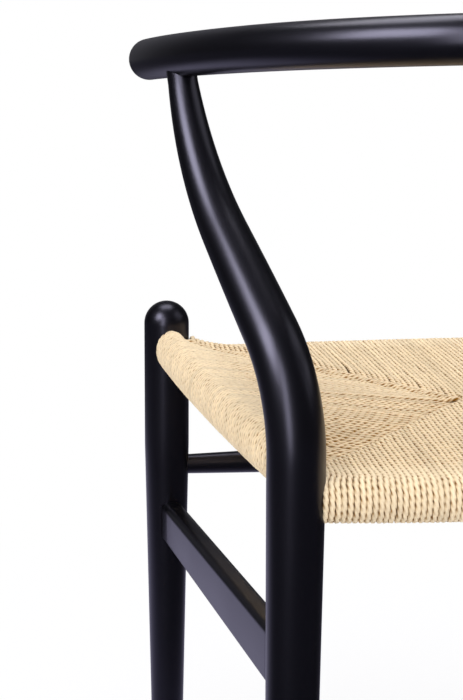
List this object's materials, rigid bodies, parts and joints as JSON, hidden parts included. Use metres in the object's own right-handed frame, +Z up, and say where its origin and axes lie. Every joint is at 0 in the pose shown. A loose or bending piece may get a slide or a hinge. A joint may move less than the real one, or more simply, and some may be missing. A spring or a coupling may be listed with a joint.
{
  "type": "dining chair",
  "caption": "Wooden dining chair with a round bent rail for arms and back, a forked back board, turned legs, stretchers and a woven paper-cord seat.",
  "frame": {"origin": "on the floor, at the middle of the chair's overall width and depth", "axes": "+Z up, -Y towards the front, +X towards the sitter's left"},
  "size_m": [0.5499, 0.51, 0.7544],
  "materials": {
    "lacquered_wood": "satin black lacquer",
    "paper_cord": "natural twisted paper cord, woven",
    "tack_steel": "plain steel"
  },
  "bodies": {
    "root": {"front_leg_left": "lacquered_wood", "front_leg_right": "lacquered_wood", "back_leg_left": "lacquered_wood", "back_leg_right": "lacquered_wood", "top_rail": "lacquered_wood", "back_splat": "lacquered_wood", "seat_rail_front": "lacquered_wood", "seat_rail_back": "lacquered_wood", "seat_rail_left": "lacquered_wood", "seat_rail_right": "lacquered_wood", "side_stretcher_left": "lacquered_wood", "side_stretcher_right": "lacquered_wood", "front_stretcher": "lacquered_wood", "back_stretcher": "lacquered_wood", "woven_seat": "paper_cord", "cord_tacks": "tack_steel"}
  },
  "joints": []
}
